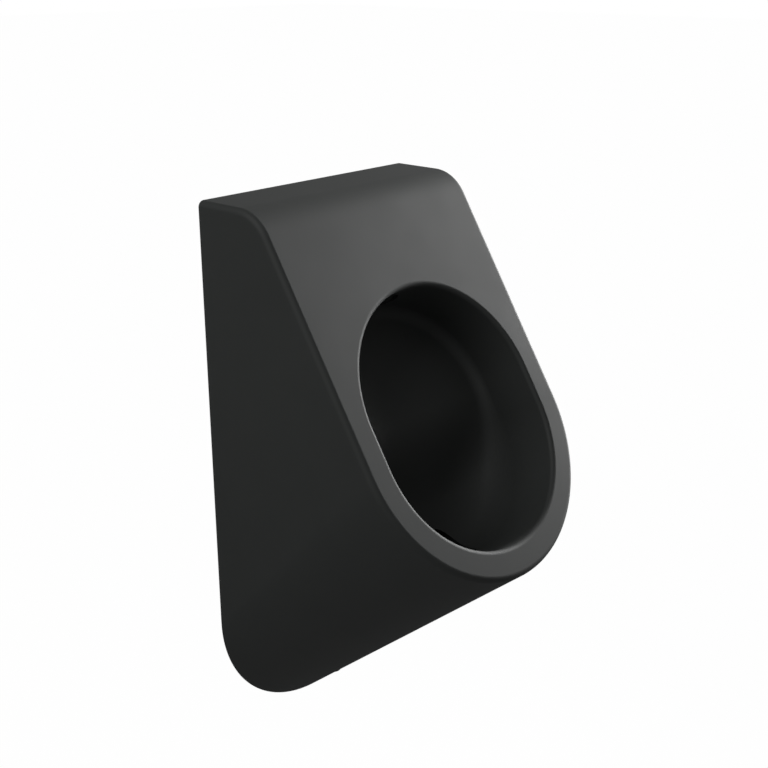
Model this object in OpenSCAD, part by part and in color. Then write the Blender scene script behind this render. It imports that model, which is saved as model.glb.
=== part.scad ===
/* [Ceramic body] */
// Overall width of the ceramic
body_w = 300; // [285:1:325]
// Overall height of the ceramic
body_h = 616; // [600:1:650]
// Depth of the flat top, out to the line where the top and front planes would meet
top_depth = 79; // [72:1:90]
// Slope of the front face from the vertical, in degrees
front_slope = 32.2; // [30:0.1:34]
// Length of the front face from that meeting line down to its lowest point
front_len = 418; // [408:1:430]
// Radius of the rounded brow between the top and the front face
brow_r = 46.5; // [35:0.5:52]
// Radius of the edges round the front face and along the sides of the top
edge_r = 6.5; // [4:0.5:8]
// Radius of the corners inside the hollow back
hollow_r = 10; // [6:0.5:14]
// Thickness of the fired clay
wall_t = 12; // [10:0.5:13.5]

/* [Bowl] */
// Width of the opening
bowl_w = 242; // [225:1:250]
// Distance down the slope from the meeting line to the top of the opening
bowl_top = 106; // [98:1:114]
// Width of the rim below the opening
bowl_rim = 31.5; // [28:0.5:36]
// Depth of the straight wall of the bowl, square to the front face
bowl_wall = 70; // [62:1:74]
// Further depth of the dished back at its lower end
dish_depth = 40; // [30:1:46]
// Width of the curve between the straight wall and the dished back
dish_run = 60; // [45:1:75]
// Radius of the rounded lip of the opening
lip_r = 5; // [2:0.5:7]

/* [Hanging] */
// Distance from the top edge down to the upper wall screws
screw_drop = 101; // [92:1:112]
// Distance between the two upper wall screws
screw_gap = 150; // [130:1:170]
// Thickness of the steel of the hanging rail and of the lower bracket
steel_t = 4; // [3:0.5:5]
// Width of each of the rail's two hooks
hook_w = 30; // [24:1:38]
// Height of the wall plate under each hook
hook_h = 70; // [62:1:80]
// Distance from the screws down to the rail's lower edge
hook_foot = 17; // [13:1:22]
// Height of a hook's upturned end above its tongue
hook_lip = 14; // [10:1:18]
// Gap between the rail's bar and the collar of the water inlet above it
rail_gap = 2; // [1:0.5:3]
// Thickness of the nylon pads between hooks and ceramic
pad_t = 2.5; // [2:0.5:3]
// Distance from the wall to the ceramic web that hangs on the hooks
web_back = 14; // [13:0.5:18]
// Height of each window in the web
window_h = 36; // [34:1:40]
// Width of each window in the web
window_w = 46; // [42:1:52]
// Height of the clay below and beside the windows
web_strip = 14; // [10:1:18]
// Width of the gap in the middle of the web, which the water inlet passes through
web_gap = 64; // [50:1:72]
// Diameter of the rail's two screw holes, with room to level the rail
rail_hole_d = 11; // [10.5:0.5:12]
// Diameter of the wall screws
screw_d = 8; // [7:0.5:9]
// Length of the wall screws under the head
screw_len = 60; // [50:1:80]
// Width across the flats of a wall screw's head
screw_af = 13; // [12:0.5:15]
// Height of a wall screw's head
screw_head = 5.5; // [4:0.5:6]
// Diameter of the washers under the wall screws
washer_d = 20; // [17:0.5:24]
// Thickness of the washers under the wall screws
washer_t = 1.6; // [1.2:0.1:2]
// Diameter of the nylon wall plugs
plug_d = 10; // [10:0.5:12]
// Length of the nylon wall plugs
plug_len = 50; // [40:1:60]

/* [Lower fixing] */
// Height of the lower bracket's wall screw above the lower edge
foot_screw_h = 78; // [74:1:88]
// Width of the lower bracket
foot_w = 36; // [28:1:44]
// Height of the lower bracket's wall leg
foot_leg = 44; // [38:1:48]
// Distance from the wall to the screw that holds the ceramic down
foot_out = 24; // [22:1:27]
// Length of the lower bracket's shelf, from the wall
foot_shelf = 36; // [34:1:40]
// Diameter of the clay post round that screw
foot_post_d = 30; // [26:1:34]
// Gap between the front edge of the bracket's shelf and the ceramic's underside
foot_gap = 1.5; // [1:0.5:5]
// Height of the screw head's seat above the lower edge
foot_seat_h = 34; // [32:1:37]
// Diameter of the recess that takes the screw head
foot_recess_d = 18; // [16:0.5:20]
// Diameter of the screw that holds the ceramic down
foot_screw_d = 6; // [5:0.5:7]
// Diameter of that screw's head
foot_head_d = 11; // [10:0.5:12]
// Height of that screw's head
foot_head_h = 3.5; // [3:0.5:4.5]
// Width across the flats of the nut on the bracket
foot_nut_af = 11; // [10:0.5:13]
// Height of the nut on the bracket
foot_nut_h = 5; // [4:0.5:6]
// Thickness of the wall of the nylon sleeve round that screw
sleeve_t = 1.5; // [1:0.1:2]
// Thickness of the nylon sleeve's flange
sleeve_flange = 1.5; // [1:0.1:2]
// Thickness of the cap over the screw head
cap_t = 2; // [1.5:0.1:2.5]

/* [Water inlet] */
// Distance from the front face to the spray head's axis
head_in = 42; // [38:1:46]
// Diameter of the spray head
head_d = 34; // [30:1:38]
// Thickness of the spray head's flange
head_flange = 3; // [2.5:0.1:4]
// Height of the spray head's dome below its flange
head_dome = 3; // [2:0.5:5]
// Number of spray holes
spray_count = 7; // [5:1:9]
// Diameter of a spray hole
spray_d = 2.4; // [2:0.1:3]
// Diameter of the spray head's threaded shank
shank_d = 20; // [18:0.5:22]
// Bore of the spray head's shank
shank_bore = 12; // [10:0.5:14]
// Length of the shank above the ceiling of the bowl
shank_len = 36; // [34:1:42]
// Depth of the seat cut for the spray head in the curved ceiling of the bowl
seat_cut = 4; // [3:0.1:4.5]
// Depth of the flat seat cut for the shank nut on the other side of that ceiling
nut_cut = 1.5; // [1.5:0.1:2]
// Thickness of the rubber gaskets on the shank
gasket_t = 2; // [1.5:0.1:2.5]
// Width across the flats of the shank nut
shank_nut_af = 30; // [27:1:32]
// Height of the shank nut
shank_nut_h = 8; // [7:0.5:9]
// Outer diameter of the inlet pipe
pipe_d = 16; // [15:0.5:17]
// Wall of the inlet pipe and of its socket
pipe_wall = 2; // [1.5:0.1:2.5]
// Depth of the inlet pipe's socket over the shank
socket_deep = 10; // [8:0.5:11]
// Diameter of the ball where the inlet pipe turns from the shank to the wall
elbow_d = 29; // [27:0.5:32]
// Distance from the shank's end to the centre of that ball
elbow_rise = 7; // [6:0.5:9]
// Diameter of the pipe thread on the wall nipple
nipple_d = 21; // [20.5:0.1:22]
// Length of the nipple inside the wall
nipple_in = 16; // [14:1:20]
// Length of the nipple in front of the wall
nipple_out = 20; // [18:1:24]
// Width across the flats of the nipple's collar
nipple_af = 27; // [26:0.5:30]
// Thickness of the nipple's collar
nipple_collar = 6; // [5:0.5:7]
// Width across the flats of the union nut
union_af = 30; // [29:0.5:32]
// Thickness of the union nut's inner lip and of the pipe's collar
union_lip = 3; // [2.5:0.1:3.5]
// Gap between the union nut and the nipple's collar
union_gap = 3; // [2:0.5:4]

/* [Waste outlet] */
// Diameter of the throat bored from the bowl towards the wall
throat_d = 36; // [34:0.5:38]
// Depth of the sump that the throat makes below the lowest point of the bowl
throat_drop = 18.5; // [17:0.5:20]
// Distance that the throat is bored forward past the bowl's lowest point
throat_reach = 12; // [8:1:16]
// Width of the ledge that stops the strainer
ledge_w = 2.3; // [2:0.1:3]
// Length of the ledge
ledge_len = 6; // [5:0.5:8]
// Diameter of the socket for the rubber collar
socket_d = 50; // [48:0.5:53]
// Depth of that socket
socket_len = 22; // [18:1:25]
// Distance from the wall to the rear end of the clay socket
socket_stand = 120; // [117:1:124]
// Thickness of the clay round the socket
socket_wall = 10; // [8:0.5:12]
// Diameter of the collar's flange
collar_flange_d = 62; // [58:1:66]
// Thickness of the collar's flange
collar_flange_t = 4; // [3:0.5:5]
// Clearance round the pieces that move: strainer, trap cup and ring nut
moving_gap = 0.3; // [0.2:0.05:0.4]
// Length of the strainer's rim
strainer_len = 8; // [6:0.5:10]
// Thickness of the strainer's plate and rim
strainer_t = 2; // [1.5:0.1:2.5]
// Diameter of the strainer's holes
strainer_hole_d = 5; // [4:0.5:5.5]
// Number of holes in the strainer's outer ring
strainer_holes = 9; // [6:1:10]
// Diameter of the strainer's finger knob
knob_d = 7; // [6:0.5:8]
// Length of the strainer's finger knob
knob_len = 9; // [7:0.5:11]

/* [Trap] */
// Diameter of the pipe between the ceramic and the trap
spigot_d = 40; // [39:0.5:42]
// Wall of the plastic trap and its pipes
plastic_t = 2.5; // [2:0.1:3]
// Outer diameter of the trap's housing
trap_d = 70; // [68:1:74]
// Distance from the wall to the trap's axis
trap_stand = 72; // [71:1:76]
// Height of the housing above the inlet's axis
trap_dome = 28; // [26:1:32]
// Diameter of the waste pipe into the wall
waste_d = 50; // [48:0.5:51]
// Distance from the inlet's axis down to the waste pipe's axis
waste_fall = 46; // [45:0.5:47]
// Height of the threaded neck below the waste pipe's socket
neck_h = 23; // [22:1:26]
// Depth of the water seal
seal_depth = 50; // [48:1:52]
// Outer diameter of the dip tube
dip_d = 30; // [26:1:32]
// Distance from the end of the dip tube to the floor of the cup
dip_clear = 10; // [8:1:11]
// Outer diameter of the cup
cup_d = 56; // [54:1:58]
// Thickness of the cup's flange
cup_flange = 3; // [2.5:0.5:4]
// Width across the flats of the ring nut that holds the cup
ring_af = 84; // [83:1:88]
// Height of the ring nut
ring_h = 21; // [18:1:22]
// Thickness of the ring nut's inner lip
ring_lip = 4; // [3:0.5:5]
// Distance from the wall to the end of the waste socket
waste_end = 16; // [15:0.5:17]
// Thickness of the waste socket's wall
waste_wall = 4; // [3:0.5:5]
// Thickness of the washer in the waste union
waste_washer = 4; // [3:0.5:5]
// Width across the flats of the waste union nut
waste_nut_af = 70; // [68:1:74]
// Length of the waste union nut over the socket
waste_nut_len = 16; // [12:1:18]
// Length of the waste pipe inside the wall
waste_in = 60; // [50:1:80]
// Diameter of the rubber wall sleeve
wall_sleeve_d = 62; // [60:1:66]
// Length of the rubber wall sleeve inside the wall
wall_sleeve_len = 35; // [30:1:45]
// Diameter of the wall sleeve's flange
wall_flange_d = 74; // [70:1:80]
// Thickness of the wall sleeve's flange
wall_flange_t = 3; // [2:0.5:4]

/* [Hidden] */
$fn = 64;
// How far a cut runs past the surface that it opens
overrun = 5;
// Clearance between pieces that fit into or over each other
fit = 0.05;
// Thickness of the slab that carries an outline into a hull
slab = 0.1;
// Fineness of the large and small curves of the ceramic
curve_fn = 96;
edge_fn = 24;
// Half the number of steps round the bowl and round its shell, and the steps over lip and dish
bowl_steps = 40;
shell_steps = 24;
lip_steps = 3;
dish_steps = 6;

// The ceramic's outline
half_w = body_w / 2;
hanger_h = body_h - screw_drop;
nose_s = front_len - half_w;
brow_y = -top_depth + brow_r * (1 - sin(front_slope)) / cos(front_slope);
bowl_r = bowl_w / 2;
bowl_low = front_len - bowl_rim;
bowl_high_centre = bowl_top + bowl_r;
bowl_low_centre = bowl_low - bowl_r;

// Height in the model of a point given by its height above the lower edge
function up(h) = h - hanger_h;
// Places on or behind the front face: s down the slope, d square to it into the clay
function face_y(s, d) = -top_depth - s * sin(front_slope) + d * cos(front_slope);
function face_z(s, d) = up(body_h - s * cos(front_slope) - d * sin(front_slope));

// Slope of the underside, tangent to the rim's rounded edge
rim_y = face_y(front_len - edge_r, edge_r);
rim_z = face_z(front_len - edge_r, edge_r) - up(0);
under_slope = atan2(rim_z, -rim_y) - asin(edge_r / norm([rim_y, rim_z]));

// Height of the clay post's top, at which the shelf clears the underside
foot_post_h = foot_shelf * tan(under_slope) + wall_t / cos(under_slope) + foot_gap;

// The bowl's lowest point, on the curve between its wall and its dished back
low_turn = atan2(dish_depth * sin(front_slope), dish_run * cos(front_slope));
low_s = bowl_low - dish_run * (1 - cos(low_turn));
low_d = bowl_wall + dish_depth * sin(low_turn);
throat_z = face_z(low_s, low_d) - throat_drop + throat_d / 2;
throat_end = face_y(low_s, low_d) - throat_reach;
ledge_y = -socket_stand - socket_len - ledge_len;

// The rail's hooks, their pads and the web that hangs on them
tongue_z = hook_h - hook_foot;
bear_z = tongue_z + pad_t;
web_front = web_back + wall_t;
hook_reach = web_front + pad_t + 2 * fit + steel_t;
window_low = bear_z + fit - window_h;

// The water inlet: its elbow turns the shank's slope into the level
nut_seat = wall_t - nut_cut;
elbow_y = face_y(bowl_top - shank_len - elbow_rise, head_in);
inlet_z = face_z(bowl_top - shank_len - elbow_rise, head_in);
collar_end = nipple_out + gasket_t + union_lip;
bar_top = inlet_z - nipple_af / cos(30) / 2 - rail_gap;

// The trap, from its inlet down to its cup
waste_z = throat_z - waste_fall;
waste_socket_d = waste_d + 2 * waste_wall;
seal_z = waste_z - waste_d / 2 + plastic_t;
dip_low = seal_z - seal_depth;
shelf_z = throat_z - (spigot_d - plastic_t) / 2;
neck_z = waste_z - waste_socket_d / 2 - neck_h;
cup_floor = dip_low - dip_clear;

module on_face(s)
    translate([0, face_y(s, 0), face_z(s, 0)]) rotate([90 - front_slope, 0, 0]) children();

// Stands on the ceiling of the bowl, with +Z up the slope through the clay
module on_ceiling() on_face(bowl_top) translate([0, 0, -head_in]) rotate([-90, 0, 0]) children();

// Lies along Y at height z, from y towards the wall
module towards_wall(y, z) translate([0, y, z]) rotate([-90, 0, 0]) children();

module pair(gap) for (side = [-1, 1]) translate([side * gap / 2, 0, 0]) children();

module ring(outer_d, inner_d, h) difference() {
    cylinder(d = outer_d, h = h);
    translate([0, 0, -overrun]) cylinder(d = inner_d, h = h + 2 * overrun);
}

module hex(af, h) cylinder(d = af / cos(30), h = h, $fn = 6);

module hex_ring(af, inner_d, h) difference() {
    hex(af, h);
    translate([0, 0, -overrun]) cylinder(d = inner_d, h = h + 2 * overrun);
}

// The tapering form of the ceramic, drawn inside its surface by inset
module clay_form(inset, corner_r, behind) {
    side_x = half_w - inset - corner_r;
    hull() {
        translate([0, behind, 0]) rotate([90, 0, 0]) linear_extrude(height = behind + slab) {
            translate([0, up(half_w)]) circle(r = half_w - inset, $fn = curve_fn);
            for (side = [-1, 1])
                translate([side * side_x, up(body_h - inset - corner_r)])
                    circle(r = corner_r, $fn = edge_fn);
        }
        for (side = [-1, 1])
            translate([side * side_x, brow_y, up(body_h - brow_r)]) rotate([0, 90, 0])
                rotate_extrude($fn = curve_fn)
                    translate([brow_r - inset - corner_r, 0]) circle(r = corner_r, $fn = edge_fn);
        on_face(nose_s) translate([0, 0, -inset - corner_r]) rotate([0, 0, 180])
            rotate_extrude(angle = 180, $fn = curve_fn)
                translate([side_x, 0]) circle(r = corner_r, $fn = edge_fn);
    }
}

// Points of the bowl's outline on the front face, round the upper and then the lower end
function oval(r, steps) = [
    for (lower = [0, 1]) for (i = [0:steps])
        let (turn = 180 * (lower + i / steps), centre = lower ? bowl_low_centre : bowl_high_centre)
        [r * cos(turn), r * sin(turn) - centre]
];

// Depth that the dished back adds at the distance s down the slope
function dish(s) =
    let (t = (s - bowl_high_centre) / (bowl_low - dish_run - bowl_high_centre),
         u = min(max(t, 0), 1))
    dish_depth * u * u * (3 - 2 * u);

// One outline of the bowl: grown, set back, and dished by a share of the dish's depth
function bowl_ring(grow, back, dish_share, steps) = [
    for (p = oval(bowl_r + grow, steps)) [p.x, p.y, -back - dish_share * dish(-p.y)]
];

// Joins the rings into one closed skin, capped flat in front and by level strips behind
module bowl_skin(rings, steps) {
    n = 2 * steps + 2;
    last = (len(rings) - 1) * n;
    half = steps / 2;
    sides = [
        for (k = [0:len(rings) - 2]) for (i = [0:n - 1])
            let (a = k * n + i, b = k * n + (i + 1) % n)
            each [[a, b, b + n], [a, b + n, a + n]]
    ];
    strips = [
        for (i = [0:half - 1]) each [
            [last + i, last + i + 1, last + steps - i - 1],
            [last + i, last + steps - i - 1, last + steps - i],
            [last + n - 1 - i, last + steps + 1 + i, last + steps + 2 + i],
            [last + n - 1 - i, last + steps + 2 + i, last + n - 2 - i]
        ]
    ];
    middle = [[last, last + steps, last + steps + 1], [last, last + steps + 1, last + n - 1]];
    front = [for (i = [n - 1:-1:0]) i];
    flat = [for (t = concat(strips, middle)) if (t[0] != t[1] && t[1] != t[2] && t[2] != t[0]) t];
    on_face(0) polyhedron(
        points = [for (r = rings) each r],
        faces = concat([front], sides, flat)
    );
}

module bowl() {
    lip = [for (i = [0:lip_steps]) let (turn = 90 * i / lip_steps)
        bowl_ring(lip_r * (1 - sin(turn)), lip_r * (1 - cos(turn)), 0, bowl_steps)];
    dished = [for (i = [0:dish_steps]) let (turn = 90 * i / dish_steps)
        bowl_ring(-dish_run * (1 - cos(turn)), bowl_wall, sin(turn), bowl_steps)];
    bowl_skin(concat([bowl_ring(lip_r, -overrun, 0, bowl_steps)], lip, dished), bowl_steps);
}

module bowl_shell() {
    half_steps = dish_steps / 2;
    dished = [for (i = [0:half_steps]) let (turn = 90 * i / half_steps)
        bowl_ring(wall_t - dish_run * (1 - cos(turn)), bowl_wall + wall_t, sin(turn), shell_steps)];
    bowl_skin(concat([bowl_ring(wall_t, -overrun, 0, shell_steps)], dished), shell_steps);
}

// The upright web behind the top, with a window over each hook
module hanging_web() difference() {
    low = window_low - web_strip;
    translate([-half_w, -web_front, low]) cube([body_w, wall_t, up(body_h) - low]);
    pair(screw_gap) translate([-window_w / 2, -web_front - overrun, window_low])
        cube([window_w, wall_t + 2 * overrun, window_h]);
    translate([-web_gap / 2, -web_front - overrun, low - overrun])
        cube([web_gap, wall_t + 2 * overrun, inlet_z + union_af - low]);
}

module ceramic_body() color("#2c2e2d") difference() {
    clay_form(0, edge_r, 0);
    difference() {
        clay_form(wall_t, hollow_r, overrun);
        bowl_shell();
        hanging_web();
        towards_wall(throat_end - socket_wall, throat_z)
            cylinder(d = socket_d + 2 * socket_wall, h = socket_wall - throat_end - socket_stand);
        translate([0, -foot_out, up(0)]) cylinder(d = foot_post_d, h = foot_post_h);
    }
    bowl();
    towards_wall(throat_end, throat_z) cylinder(d = throat_d, h = ledge_y - throat_end);
    towards_wall(ledge_y - overrun, throat_z)
        cylinder(d = throat_d - 2 * ledge_w, h = ledge_len + 2 * overrun);
    towards_wall(-socket_stand - socket_len, throat_z)
        cylinder(d = socket_d, h = socket_len + overrun);
    on_ceiling() {
        translate([0, 0, -overrun]) cylinder(d = head_d + 2 * gasket_t, h = overrun + seat_cut);
        translate([0, 0, -overrun]) cylinder(d = shank_d + 2 * fit, h = wall_t + 2 * overrun);
        translate([0, 0, nut_seat])
            cylinder(d = shank_nut_af / cos(30) + gasket_t, h = overrun);
    }
    translate([0, -foot_out, up(0) - overrun]) {
        cylinder(d = foot_recess_d, h = foot_seat_h + overrun);
        cylinder(d = foot_screw_d + 2 * sleeve_t + 4 * fit, h = foot_post_h + 2 * overrun);
    }
}

// One bar with a wall plate, a tongue and an upturned end at each side
module hanging_rail() color("#b4b7b9") difference() {
    length = screw_gap + hook_w;
    union() {
        translate([-length / 2, -steel_t, -hook_foot]) cube([length, steel_t, bar_top + hook_foot]);
        pair(screw_gap) translate([-hook_w / 2, 0, 0]) {
            translate([0, -steel_t, -hook_foot]) cube([hook_w, steel_t, hook_h]);
            translate([0, -hook_reach, tongue_z - steel_t]) cube([hook_w, hook_reach, steel_t]);
            translate([0, -hook_reach, tongue_z - steel_t])
                cube([hook_w, steel_t, steel_t + hook_lip]);
        }
    }
    pair(screw_gap) towards_wall(-steel_t - overrun, 0)
        cylinder(d = rail_hole_d, h = steel_t + 2 * overrun);
}

// An angle of nylon that keeps clay and steel apart
module hook_pads() color("#dcdcd6") pair(screw_gap) translate([-hook_w / 2, 0, 0]) {
    reach = hook_reach - steel_t - fit;
    translate([0, -reach, tongue_z + fit]) cube([hook_w, reach - web_back + pad_t, pad_t - fit]);
    translate([0, -reach, tongue_z + fit]) cube([hook_w, pad_t, hook_lip - fit]);
}

// Places of the three wall screws
module at_wall_screws() {
    pair(screw_gap) children();
    translate([0, 0, up(foot_screw_h)]) children();
}

module wall_screws() color("#a9adb0") at_wall_screws() {
    towards_wall(-steel_t - washer_t - fit, 0) cylinder(d = screw_d, h = screw_len);
    towards_wall(-steel_t - washer_t - fit - screw_head, 0) hex(screw_af, screw_head);
}

module wall_washers() color("#c2c5c7") at_wall_screws()
    towards_wall(-steel_t - washer_t, 0) ring(washer_d, screw_d + 2 * fit, washer_t);

module wall_plugs() color("#8d9296") at_wall_screws()
    towards_wall(0, 0) ring(plug_d, screw_d + 2 * fit, plug_len);

// The bracket's shelf lies just above the clay post
module lower_bracket() color("#b4b7b9") difference() {
    shelf = up(foot_post_h) + fit;
    union() {
        translate([-foot_w / 2, -steel_t, shelf]) cube([foot_w, steel_t, foot_leg]);
        translate([-foot_w / 2, -foot_shelf, shelf]) cube([foot_w, foot_shelf, steel_t]);
    }
    towards_wall(-steel_t - overrun, up(foot_screw_h))
        cylinder(d = screw_d + 2 * fit, h = steel_t + 2 * overrun);
    translate([0, -foot_out, shelf - overrun])
        cylinder(d = foot_screw_d + 2 * fit, h = steel_t + 2 * overrun);
}

module lower_nut() color("#a9adb0")
    translate([0, -foot_out, up(foot_post_h) + 2 * fit + steel_t])
        hex_ring(foot_nut_af, foot_screw_d + 2 * fit, foot_nut_h);

module lower_screw() color("#a9adb0") {
    head_top = up(foot_seat_h) - sleeve_flange - fit;
    shelf_top = up(foot_post_h) + 2 * fit + steel_t;
    translate([0, -foot_out, head_top - foot_head_h]) cylinder(d = foot_head_d, h = foot_head_h);
    translate([0, -foot_out, head_top - foot_head_h])
        cylinder(d = foot_screw_d, h = foot_head_h + shelf_top + foot_nut_h + steel_t - head_top);
}

module lower_sleeve() color("#dcdcd6") translate([0, -foot_out, up(foot_seat_h)]) {
    inner_d = foot_screw_d + 2 * fit;
    ring(inner_d + 2 * sleeve_t, inner_d, foot_post_h - foot_seat_h - fit);
    translate([0, 0, -sleeve_flange]) ring(foot_recess_d - 2 * fit, inner_d, sleeve_flange);
}

// A push-in cap that closes the recess below the screw head
module lower_cap() color("#1d1e1e") {
    cap_top = up(foot_seat_h) - sleeve_flange - foot_head_h - 2 * fit;
    translate([0, -foot_out, cap_top - cap_t])
        cylinder(d = foot_recess_d - 2 * fit, h = cap_t);
}

module spray_head() color("#1b1c1c") on_ceiling() difference() {
    flange_top = seat_cut - gasket_t - fit;
    union() {
        translate([0, 0, flange_top - head_flange]) cylinder(d = head_d, h = head_flange);
        translate([0, 0, flange_top - head_flange - head_dome])
            cylinder(d1 = shank_d, d2 = head_d, h = head_dome);
        translate([0, 0, flange_top]) cylinder(d = shank_d, h = shank_len - flange_top);
    }
    translate([0, 0, flange_top - head_flange])
        cylinder(d = shank_bore, h = shank_len + overrun);
    for (i = [0:spray_count - 1]) rotate([0, 0, 360 * i / spray_count])
        translate([shank_bore / 2 - spray_d, 0, -overrun - head_flange - head_dome])
            cylinder(d = spray_d, h = 2 * overrun + head_dome);
}

module spray_gasket() color("#26282a") on_ceiling()
    translate([0, 0, seat_cut - gasket_t]) ring(head_d, shank_d + 2 * fit, gasket_t - fit);

module shank_washer() color("#26282a") on_ceiling()
    translate([0, 0, nut_seat + fit])
        ring(shank_nut_af, shank_d + 2 * fit, gasket_t - 2 * fit);

module shank_nut() color("#e4e4df") on_ceiling()
    translate([0, 0, nut_seat + gasket_t]) hex_ring(shank_nut_af, shank_d + 2 * fit, shank_nut_h);

// Socket over the shank, ball elbow, and level run to the collar in the union nut
module inlet_pipe() color("#e4e4df") {
    bore = pipe_d - 2 * pipe_wall;
    socket_bore = shank_d + 2 * fit;
    difference() {
        union() {
            on_ceiling() translate([0, 0, shank_len - socket_deep])
                cylinder(d = socket_bore + 2 * pipe_wall, h = socket_deep + elbow_rise);
            translate([0, elbow_y, inlet_z]) sphere(d = elbow_d);
            towards_wall(elbow_y, inlet_z) cylinder(d = pipe_d, h = -elbow_y - nipple_out - gasket_t);
            towards_wall(-collar_end, inlet_z) cylinder(d = nipple_d - 2 * fit, h = union_lip);
        }
        on_ceiling() {
            translate([0, 0, shank_len - socket_deep - overrun])
                cylinder(d = socket_bore, h = socket_deep + overrun + fit);
            cylinder(d = bore, h = shank_len + elbow_rise);
        }
        translate([0, elbow_y, inlet_z]) sphere(d = bore + pipe_wall);
        towards_wall(elbow_y, inlet_z) cylinder(d = bore, h = -elbow_y);
    }
}

module inlet_washer() color("#26282a")
    towards_wall(-nipple_out - gasket_t + fit, inlet_z)
        ring(nipple_d - 2 * fit, pipe_d - 2 * pipe_wall, gasket_t - 2 * fit);

module inlet_union_nut() color("#c9a25e") towards_wall(-collar_end - union_lip - fit, inlet_z) {
    length = collar_end + union_lip - nipple_collar - union_gap;
    hex_ring(union_af, pipe_d + 2 * fit, union_lip);
    translate([0, 0, union_lip]) hex_ring(union_af, nipple_d + 2 * fit, length - union_lip);
}

module wall_nipple() color("#c9a25e") difference() {
    union() {
        towards_wall(-nipple_out, inlet_z) cylinder(d = nipple_d, h = nipple_out + nipple_in);
        towards_wall(-nipple_collar, inlet_z) hex(nipple_af, nipple_collar);
    }
    towards_wall(-nipple_out - overrun, inlet_z)
        cylinder(d = pipe_d - 2 * pipe_wall, h = nipple_out + nipple_in + 2 * overrun);
}

// A perforated plate in a short rim, with a knob to pull it by
module outlet_strainer() color("#1f2121")
    towards_wall(ledge_y - strainer_len - moving_gap, throat_z) {
        outer = throat_d - 2 * moving_gap;
        hole_ring = (outer - 2 * strainer_t - strainer_hole_d) / 2 - strainer_t;
        ring(outer, outer - 2 * strainer_t, strainer_len);
        difference() {
            cylinder(d = outer - strainer_t, h = strainer_t);
            for (i = [0:strainer_holes - 1]) rotate([0, 0, 360 * i / strainer_holes])
                translate([hole_ring, 0, -overrun])
                    cylinder(d = strainer_hole_d, h = strainer_t + 2 * overrun);
        }
        translate([0, 0, -knob_len]) cylinder(d = knob_d, h = knob_len + strainer_t);
    }

module outlet_collar() color("#26282a") {
    inner = spigot_d + 2 * fit;
    towards_wall(-socket_stand - socket_len + fit, throat_z)
        ring(socket_d - 2 * fit, inner, socket_len);
    towards_wall(-socket_stand + fit, throat_z) ring(collar_flange_d, inner, collar_flange_t);
}

// Housing with its inlet spigot, inner shelf, waste socket and threaded neck
module trap_housing() color("#e4e4df") {
    height = throat_z + trap_dome - neck_z;
    inner = trap_d - 2 * plastic_t;
    difference() {
        union() {
            translate([0, -trap_stand, neck_z]) cylinder(d = trap_d, h = height);
            towards_wall(-socket_stand - socket_len + 2 * plastic_t, throat_z)
                cylinder(d = spigot_d, h = socket_stand + socket_len - trap_stand);
            towards_wall(-trap_stand, waste_z)
                cylinder(d = waste_socket_d, h = trap_stand - waste_end);
        }
        translate([0, -trap_stand, shelf_z]) cylinder(d = inner, h = throat_z - shelf_z + trap_dome
            - plastic_t);
        translate([0, -trap_stand, neck_z - overrun])
            cylinder(d = inner, h = shelf_z - plastic_t - neck_z + overrun);
        translate([0, -trap_stand, shelf_z - plastic_t - overrun])
            cylinder(d = dip_d + 2 * fit, h = plastic_t + 2 * overrun);
        towards_wall(-socket_stand - socket_len - overrun, throat_z)
            cylinder(d = spigot_d - 2 * plastic_t, h = socket_stand + socket_len - trap_stand);
        towards_wall(-trap_stand, waste_z)
            cylinder(d = waste_d - 2 * plastic_t, h = trap_stand);
        towards_wall(-trap_stand + trap_d / 2, waste_z)
            cylinder(d = waste_d + 2 * fit, h = trap_stand);
    }
}

// Hangs by its flange from the housing's inner shelf
module dip_tube() color("#cfcfca") translate([0, -trap_stand, dip_low]) {
    inner = dip_d - 2 * plastic_t;
    ring(dip_d, inner, shelf_z + fit - dip_low);
    translate([0, 0, shelf_z + fit - dip_low]) ring(dip_d + 4 * plastic_t, inner, plastic_t);
}

module trap_cup() color("#e4e4df") translate([0, -trap_stand, 0]) {
    flange_top = neck_z - plastic_t - moving_gap;
    difference() {
        union() {
            translate([0, 0, cup_floor - plastic_t])
                cylinder(d = cup_d, h = flange_top - cup_floor + plastic_t);
            translate([0, 0, flange_top - cup_flange]) cylinder(d = trap_d, h = cup_flange);
        }
        translate([0, 0, cup_floor])
            cylinder(d = cup_d - 2 * plastic_t, h = flange_top - cup_floor + overrun);
    }
}

module cup_seal() color("#26282a")
    translate([0, -trap_stand, neck_z - plastic_t - moving_gap + fit])
        ring(trap_d, trap_d - 4 * plastic_t, plastic_t - 2 * fit);

module cup_ring_nut() color("#d6d6d0") translate([0, -trap_stand, 0]) {
    lip_top = neck_z - plastic_t - 2 * moving_gap - cup_flange;
    bore = trap_d + 2 * moving_gap;
    translate([0, 0, lip_top - ring_lip]) difference() {
        cylinder(d = ring_af / cos(180 / 12), h = ring_h, $fn = 12);
        translate([0, 0, ring_lip]) cylinder(d = bore, h = ring_h);
        translate([0, 0, -overrun]) cylinder(d = cup_d + 2 * moving_gap, h = ring_h);
    }
}

module waste_pipe() color("#8f9396")
    towards_wall(-trap_stand + trap_d / 2 + plastic_t, waste_z)
        ring(waste_d, waste_d - 2 * plastic_t, trap_stand - trap_d / 2 - plastic_t + waste_in);

module waste_washer_ring() color("#26282a") towards_wall(-waste_end + fit, waste_z)
    ring(waste_socket_d, waste_d + 2 * fit, waste_washer - 2 * fit);

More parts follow.
